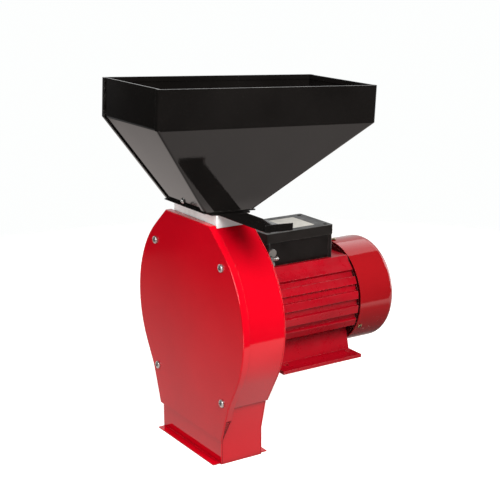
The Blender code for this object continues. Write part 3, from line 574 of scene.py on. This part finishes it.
def phillips(name, head_r, head_h, shank_r, length, thread=0.0):
    """Pan-head screw with a tapered cross recess, turned a little."""
    obj = mesh_object(name, screw_bm(head_r, head_h, shank_r, length, thread=thread))
    for angle in (CROSS_TURN, CROSS_TURN + math.pi / 2):
        bm = bmesh.new()
        blade = bmesh.ops.create_cube(bm, size=1.0)["verts"]
        for vert in blade:
            deep = vert.co.z > 0
            vert.co.x *= head_r * (0.60 if deep else 1.35)
            vert.co.y *= head_r * (0.26 if deep else 0.46)
            vert.co.z = -head_h * 0.25 if deep else -head_h * 1.2
        bmesh.ops.rotate(bm, verts=blade, cent=(0, 0, 0), matrix=Matrix.Rotation(angle, 3, "Z"))
        cut(obj, bm)
    soften(obj, 0.12 * MM, 2, 40.0)
    return obj


def make_cover_screws():
    for i in range(1, 5):
        node = "cover_bolt_%d" % i
        low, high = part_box(node)
        head_h = 4.3 * MM
        screw = phillips(node + "_fine", 6.2 * MM, head_h - 0.3 * MM, 3.0 * MM,
                         high.y - low.y - head_h, thread=1.0 * MM)
        screw.matrix_world = along_y((centre(node).x, low.y + head_h, centre(node).z))
        show(screw, BODY[node], (node,))
    for i in (1, 2):
        refine("wing_nut_%d" % i, 0.9 * MM, 3, 25.0, look=LOOKS["dull_zinc"])
        refine("threaded_boss_%d" % i, 0.3 * MM)


def make_sieve():
    """Perforated screen bent round the hammers: a sheet of cells, each with an eight-sided hole."""
    low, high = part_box("sieve")
    radius = (high.x - low.x) / 2 - 1.0 * MM
    start, end = math.radians(60), math.radians(-240)
    across, around = 11, 96
    hole_share = 0.27
    margin = 0.2 * MM
    bm = bmesh.new()

    def corner(a, b):
        angle = start + (end - start) * a / around
        along = min(max(low.y + (high.y - low.y) * b / across, low.y + margin), high.y - margin)
        return bm.verts.new((radius * math.cos(angle), along, SHAFT.z + radius * math.sin(angle)))

    grid = [[corner(a, b) for b in range(across + 1)] for a in range(around + 1)]
    turns = [math.radians(45 * i - 135) for i in range(8)]
    for a in range(around):
        for b in range(across):
            hole = [corner(a + 0.5 + hole_share * math.cos(turn), b + 0.5 + hole_share * math.sin(turn))
                    for turn in turns]
            cell = (grid[a][b], grid[a + 1][b], grid[a + 1][b + 1], grid[a][b + 1])
            for i in range(4):
                bm.faces.new((cell[i], cell[(i + 1) % 4],
                              hole[(2 * i + 2) % 8], hole[2 * i + 1], hole[2 * i]))
    obj = mesh_object("sieve_fine", bm)
    shell = obj.modifiers.new("sheet", "SOLIDIFY")
    shell.thickness = 1.6 * MM
    shell.offset = 0.0
    show(obj, BODY["sieve"], ("sieve",))


# ---------------------------------------------------------------- hopper and gate
def panel_shape(bm):
    """Bends of a hopper panel: a small radius at the wrapped corners and at the waist."""
    def steep(edge):
        run = edge.verts[0].co - edge.verts[1].co
        return run.length > 25 * MM and abs(run.z) > 0.45 * run.length

    def wide(face):
        return face.calc_area() > 300 * MM * MM

    corners = [e for e in bm.edges if turn_of(e) > 60 and steep(e)
               and all(wide(face) for face in e.link_faces)]
    outer = [e for e in corners if e.is_convex]
    inner = [e for e in corners if not e.is_convex]
    round_over(bm, outer, 3.2 * MM, 5)
    round_over(bm, [e for e in inner if e.is_valid], 1.6 * MM, 5)
    waist = [e for e in bm.edges if 8 < turn_of(e) < 50 and e.calc_length() > 60 * MM and not steep(e)]
    round_over(bm, waist, 2.2 * MM, 4)


def make_hem(side):
    """Folded hem inside the top edge of a hopper panel, built level and then leaned back."""
    tall, thick, sheet, clear = 8 * MM, 1.5 * MM, 1.6 * MM, 2.5 * MM
    lean = Matrix.Rotation(LEAN, 4, "X")
    level = [lean.inverted() @ vert.co for vert in NODES["hopper_panel_" + side].data.vertices]
    top = max(point.z for point in level)
    rim = [point for point in level if top - point.z < 0.05 * MM]
    low = Vector([min(point[i] for point in rim) for i in range(3)])
    high = Vector([max(point[i] for point in rim) for i in range(3)])
    low.z = high.z - tall
    through = 0 if side in ("left", "right") else 1
    low[1 - through] += clear
    high[1 - through] -= clear
    if side in ("right", "rear"):
        high[through] -= sheet
        low[through] = high[through] - thick
    else:
        low[through] += sheet
        high[through] = low[through] + thick
    bm = bmesh.new()
    place = Matrix.Translation((low + high) / 2) @ Matrix.Diagonal((*(high - low), 1.0))
    bmesh.ops.create_cube(bm, size=1.0, matrix=lean @ place)
    hem = mesh_object("hopper_hem_" + side, bm)
    soften(hem, 0.5 * MM, 3, 40.0)
    show(hem, BODY["hopper_panel_" + side], slot="black_enamel")


def make_hopper():
    for side in ("left", "right", "front", "rear"):
        refine("hopper_panel_" + side, 0.6 * MM, 2, 40.0, shape=panel_shape)
        make_hem(side)
    refine("hopper_base", 0.5 * MM)
    refine("gate_guide", 0.4 * MM)
    refine("slide_gate", 0.7 * MM, 3)
    for node in ("hopper_screw_front", "hopper_screw_rear"):
        refine(node, 0.25 * MM)


# ---------------------------------------------------------------- rotor
def make_rotor():
    for node in ("rotor_hub", "front_disc", "rotor_bolt", "motor_shaft", "cooling_fan"):
        refine(node, 0.5 * MM)
    for i in range(1, 5):
        refine("hammer_%d" % i, 1.0 * MM, 3)
        refine("hammer_pin_%d" % i, 0.4 * MM)


# ---------------------------------------------------------------- motor
def make_motor():
    refine("motor_frame", 0.8 * MM, 3, 28.0, look=frame_red())
    refine("front_end_shield", 0.5 * MM, look=frame_red())
    # The rear shield's paint is a tenth as bright: painted shade for the dark gap before the fan cover
    refine("rear_end_shield", 0.5 * MM, look=frame_red("shaded_frame_paint", 0.10))


def arc_slot(bm, inner, outer, start, end, low, high, steps=6):
    """Arc-shaped prism about the Z axis."""
    angles = [start + (end - start) * i / steps for i in range(steps + 1)]
    loop = [(outer * math.cos(a), outer * math.sin(a)) for a in angles]
    loop += [(inner * math.cos(a), inner * math.sin(a)) for a in reversed(angles)]
    face = bm.faces.new([bm.verts.new((x, y, low)) for x, y in loop])
    lifted = bmesh.ops.extrude_face_region(bm, geom=[face])["geom"]
    top = [part for part in lifted if isinstance(part, bmesh.types.BMVert)]
    bmesh.ops.translate(bm, vec=(0, 0, high - low), verts=top)
    bmesh.ops.recalc_face_normals(bm, faces=bm.faces)


def make_fan_cover():
    """Pressed cap: round shoulder and a grille of arc slots in rings in the end."""
    low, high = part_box("fan_cover")
    radius, length = high.x, high.y - low.y
    sheet, shoulder, middle = 1.5 * MM, 15 * MM, 12 * MM
    outside = filleted([(radius, 0.0), (radius, length), (middle, length)], shoulder, 10)
    inside = filleted([(radius - sheet, 0.0), (radius - sheet, length - sheet), (middle, length - sheet)],
                      shoulder - sheet, 10)
    profile = [(0.0, length)] + list(reversed(outside)) + inside + [(0.0, length - sheet)]
    cover = mesh_object("fan_cover_fine", lathe(profile, 128))
    slots = bmesh.new()
    half_width, half_bar = 3.6 * MM, 3.2 * MM
    for ring, count in ((20 * MM, 6), (34 * MM, 8), (48 * MM, 12), (62 * MM, 16)):
        half = math.pi / count - half_bar / ring
        for i in range(count):
            mid = 2 * math.pi * (i + 0.5) / count
            arc_slot(slots, ring - half_width, ring + half_width, mid - half, mid + half,
                     length - 5 * MM, length + 5 * MM)
    cut(cover, slots)
    cover.matrix_world = along_y((SHAFT.x, low.y, SHAFT.z))
    soften(cover, 0.25 * MM, 2, 40.0)
    show(cover, BODY["fan_cover"], ("fan_cover",))
    for i in (1, 2, 3):
        make_fan_cover_screw("fan_cover_screw_%d" % i, radius + 0.3 * MM)


def make_fan_cover_screw(node, seat_r):
    """Screw that points at the shaft, its head on the cover's side."""
    spot = centre(node)
    outward = Vector((spot.x - SHAFT.x, 0.0, spot.z - SHAFT.z)).normalized()
    screw = phillips(node + "_fine", 3.8 * MM, 2.4 * MM, 1.6 * MM, 0.3 * MM)
    seat = Vector((SHAFT.x, spot.y, SHAFT.z)) + outward * seat_r
    turn = outward.to_track_quat("-Z", "Y").to_matrix().to_4x4()
    screw.matrix_world = Matrix.Translation(seat) @ turn
    show(screw, BODY[node], (node,), look=LOOKS["brass"])


# ---------------------------------------------------------------- terminal box
def lid_shape(bm):
    """Larger radius on the lid's four upright corners."""
    side_x = abs(min(vert.co.x for vert in bm.verts))
    posts = [e for e in bm.edges if turn_of(e) > 60 and e.is_convex
             and abs(e.verts[0].co.z - e.verts[1].co.z) > 10 * MM
             and abs(abs(e.verts[0].co.x) - side_x) < 0.2 * MM]
    round_over(bm, posts, 3 * MM, 4)


def make_terminal_box():
    # The box's plastic is a darker copy of the lid's: painted shade for its walls, set back under the lid's
    # overhang
    refine("terminal_box", 0.5 * MM, look=black_plastic("painted_shade_box_moulding", (0.0045, 0.0034, 0.0030)))
    refine("terminal_box_lid", 1.1 * MM, 3, shape=lid_shape)
    for i in range(1, 5):
        node = "lid_screw_%d" % i
        low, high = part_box(node)
        screw = phillips(node + "_fine", 3.6 * MM, 2.0 * MM, 1.8 * MM, high.z - low.z - 2.3 * MM)
        screw.matrix_world = (Matrix.Translation((centre(node).x, centre(node).y, high.z - 2.2 * MM))
                              @ Matrix.Rotation(math.pi, 4, "X"))
        show(screw, BODY[node], (node,))
    make_label()
    make_gland()


def make_label():
    """Blank plate on the lid, with round corners."""
    size = (62 * MM, 60 * MM, 0.5 * MM)
    bm = bmesh.new()
    bmesh.ops.create_cube(bm, size=1.0, matrix=Matrix.Diagonal((*size, 1.0)))
    upright = [e for e in bm.edges if abs(e.verts[0].co.z - e.verts[1].co.z) > 0.8 * size[2]]
    round_over(bm, upright, 3 * MM, 6)
    plate = mesh_object("lid_label", bm)
    middle = centre("terminal_box_lid")
    lid_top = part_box("terminal_box_lid")[1].z
    plate.location = (middle.x, middle.y + 8.5 * MM, lid_top - 0.2 * MM)
    soften(plate, 0.1 * MM, 2, 40.0)
    show(plate, BODY["terminal_box_lid"], slot="black_plastic", look=label_stock())


def make_gland():
    """Round body, and a cap nut with grip ribs round an open throat."""
    outline = [(4.5, 16), (7.5, 16), (9.3, 13.5), (9.9, 6), (10.4, 5.5), (10.4, 0.4), (7.8, 0.4), (7.8, -6),
               (4.5, -6)]
    grip_r, grip_depth, grips = 9.0 * MM, 0.035, 24
    body = lathe([(radius * MM, along * MM) for radius, along in outline], 2 * grips, closed=True)
    for vert in body.verts:
        if vert.co.xy.length > grip_r:
            step = round(math.atan2(vert.co.y, vert.co.x) / (math.pi / grips))
            vert.co.xy *= 1.0 - grip_depth * (step % 2)
    gland = mesh_object("cable_gland_fine", body)
    spot = centre("cable_gland")
    seat = (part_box("cable_gland")[1].x - 6 * MM, spot.y, spot.z)
    gland.matrix_world = Matrix.Translation(seat) @ Matrix.Rotation(-math.pi / 2, 4, "Y")
    soften(gland, 0.3 * MM, 2, 35.0)
    show(gland, BODY["cable_gland"], ("cable_gland",))


# ---------------------------------------------------------------- camera, floor and light
def aim(obj, forward):
    obj.rotation_euler = Vector(forward).to_track_quat("-Z", "Y").to_euler()


def make_camera():
    data = bpy.data.cameras.new("camera")
    data.sensor_width = SENSOR_MM
    data.lens = LENS_MM
    data.shift_x, data.shift_y = LENS_SHIFT
    camera = bpy.data.objects.new("camera", data)
    bpy.context.scene.collection.objects.link(camera)
    camera.location = CAMERA_PLACE
    level = math.cos(ELEVATION)
    aim(camera, (-math.sin(AZIMUTH) * level, math.cos(AZIMUTH) * level, -math.sin(ELEVATION)))
    bpy.context.scene.camera = camera


def floor_shine(tree):
    """How bright gloss sees each spot of the table top."""
    spot = tree.node("ShaderNodeSeparateXYZ")
    tree.link(tree.place(), spot.inputs[0])
    west, east = TABLE_X
    table = tree.times(tree.ramp(spot.outputs["X"], west, west + 0.10, EDGE_SHINE, 1.0),
                       tree.ramp(spot.outputs["X"], east - 0.04, east, 1.0, EDGE_SHINE))
    incoming = tree.node("ShaderNodeSeparateXYZ")
    tree.link(tree.node("ShaderNodeNewGeometry").outputs["Incoming"], incoming.inputs[0])
    table = tree.highest(table, tree.ramp(incoming.outputs["Z"], *STEEP, 0.0, STEEP_SHINE))
    shade_factor = tree.ramp(spot.outputs["Y"], *TABLE_Y, EDGE_SHINE, TABLE_SHINE)
    # painted shadow of the motor, and a painted bright patch that the cover's rim mirrors as its highlight; only
    # gloss sees this glow
    motor_shade = tree.ramp(tree.reach(UNDER_MOTOR), 0.18, 0.36, 0.15, 1.0)
    rim_patch = tree.ramp(tree.reach(UNDER_RIM), 0.25, 0.42, 1.8, 0.0)
    return tree.highest(tree.times(tree.times(shade_factor, table), motor_shade), rim_patch)


def make_floor():
    """A round pale table top: white for the camera, and a bright disc with an edge for gloss."""
    bm = bmesh.new()
    bmesh.ops.create_circle(bm, cap_ends=True, segments=96, radius=FLOOR_RADIUS)
    floor = mesh_object("floor", bm)
    floor.location = (0.0, 0.0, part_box("chute_front_panel")[0].z - FLOOR_BELOW)
    bpy.context.scene.collection.objects.link(floor)
    tree = Tree("pale_floor")
    path = tree.node("ShaderNodeLightPath")
    seen, glossy = path.outputs["Is Camera Ray"], path.outputs["Is Glossy Ray"]
    matt = tree.mix(seen, (FLOOR_BOUNCE,) * 3, (0.90, 0.90, 0.90))
    tree.colour(tree.mix(glossy, matt, (0.0, 0.0, 0.0)))
    tree.constants(roughness=0.7, emission_color=(1.0, 0.905, 0.865, 1.0))
    glow = tree.highest(tree.times(seen, 0.75), tree.times(glossy, floor_shine(tree)))
    tree.link(glow, tree.shader.inputs["Emission Strength"])
    from_middle = tree.reach((0.0, 0.0, 0.0))
    edge = tree.ramp(from_middle, FLOOR_RADIUS * FLOOR_FADE, FLOOR_RADIUS, 1.0, 0.0)
    tree.link(edge, tree.shader.inputs["Alpha"])
    floor.data.materials.append(tree.material)


def area_light(name, place, size, power, target=SUBJECT, only_gloss=False):
    """Softbox; the ones that only gloss sees stand for bright parts of the room."""
    data = bpy.data.lights.new(name, "AREA")
    data.shape = "RECTANGLE"
    data.size, data.size_y = size
    data.energy = power
    light = bpy.data.objects.new(name, data)
    light.location = place
    aim(light, Vector(target) - Vector(place))
    light.visible_camera = False
    light.visible_glossy = only_gloss
    light.visible_diffuse = not only_gloss
    bpy.context.scene.collection.objects.link(light)


def make_lights():
    area_light("key_right", (1.10, -0.25, 1.00), (0.9, 0.9), 29.0)
    area_light("fill_front", (-0.2, -2.0, 0.9), (1.2, 1.2), 17.0)
    area_light("front_box", (0.70, -1.75, 0.85), (1.1, 0.9), 22.0, only_gloss=True)
    area_light("overhead_box", (-0.65, 1.15, 1.65), (1.3, 1.3), 7.0, (0.05, 0.10, 0.15), only_gloss=True)
    area_light("rear_box", (0.12, 1.90, 0.45), (0.8, 1.3), 12.0, (0.09, 0.13, 0.10), only_gloss=True)


def make_world():
    """White for the camera and soft for diffuse light; gloss sees a pale backdrop and a dim room."""
    world = bpy.data.worlds.new("studio")
    bpy.context.scene.world = world
    world.use_nodes = True
    nodes, links = world.node_tree.nodes, world.node_tree.links
    nodes.clear()
    out = nodes.new("ShaderNodeOutputWorld")
    where = nodes.new("ShaderNodeTexCoord")
    back = nodes.new("ShaderNodeVectorMath")
    back.operation = "DOT_PRODUCT"
    back.inputs[1].default_value = (-math.sin(AZIMUTH), math.cos(AZIMUTH), 0.0)
    links.new(where.outputs["Generated"], back.inputs[0])
    behind = nodes.new("ShaderNodeMapRange")
    for key, value in (("From Min", 0.50), ("From Max", 0.75), ("To Min", 0.015), ("To Max", 0.85)):
        behind.inputs[key].default_value = value
    links.new(back.outputs["Value"], behind.inputs["Value"])

    def shade(strength):
        made = nodes.new("ShaderNodeBackground")
        made.inputs["Color"].default_value = (0.985, 0.995, 0.99, 1.0)
        if isinstance(strength, float):
            made.inputs["Strength"].default_value = strength
        else:
            links.new(strength, made.inputs["Strength"])
        return made.outputs[0]

    path = nodes.new("ShaderNodeLightPath")
    surface = shade(0.42)
    for ray, strength in (("Is Glossy Ray", behind.outputs["Result"]), ("Is Camera Ray", 1.0)):
        mix = nodes.new("ShaderNodeMixShader")
        links.new(path.outputs[ray], mix.inputs["Fac"])
        links.new(surface, mix.inputs[1])
        links.new(shade(strength), mix.inputs[2])
        surface = mix.outputs[0]
    links.new(surface, out.inputs["Surface"])


# ---------------------------------------------------------------- the whole
LOOKS = make_looks()

make_camera()
make_floor()
make_world()
make_lights()
make_drum()
make_cover_screws()
make_sieve()
make_hopper()
make_rotor()
make_motor()
make_fan_cover()
make_terminal_box()
for node, obj in NODES.items():
    obj.data.materials.clear()
    obj.data.materials.append(LOOKS[SLOTS[node]])

bpy.context.scene.view_settings.view_transform = "Standard"
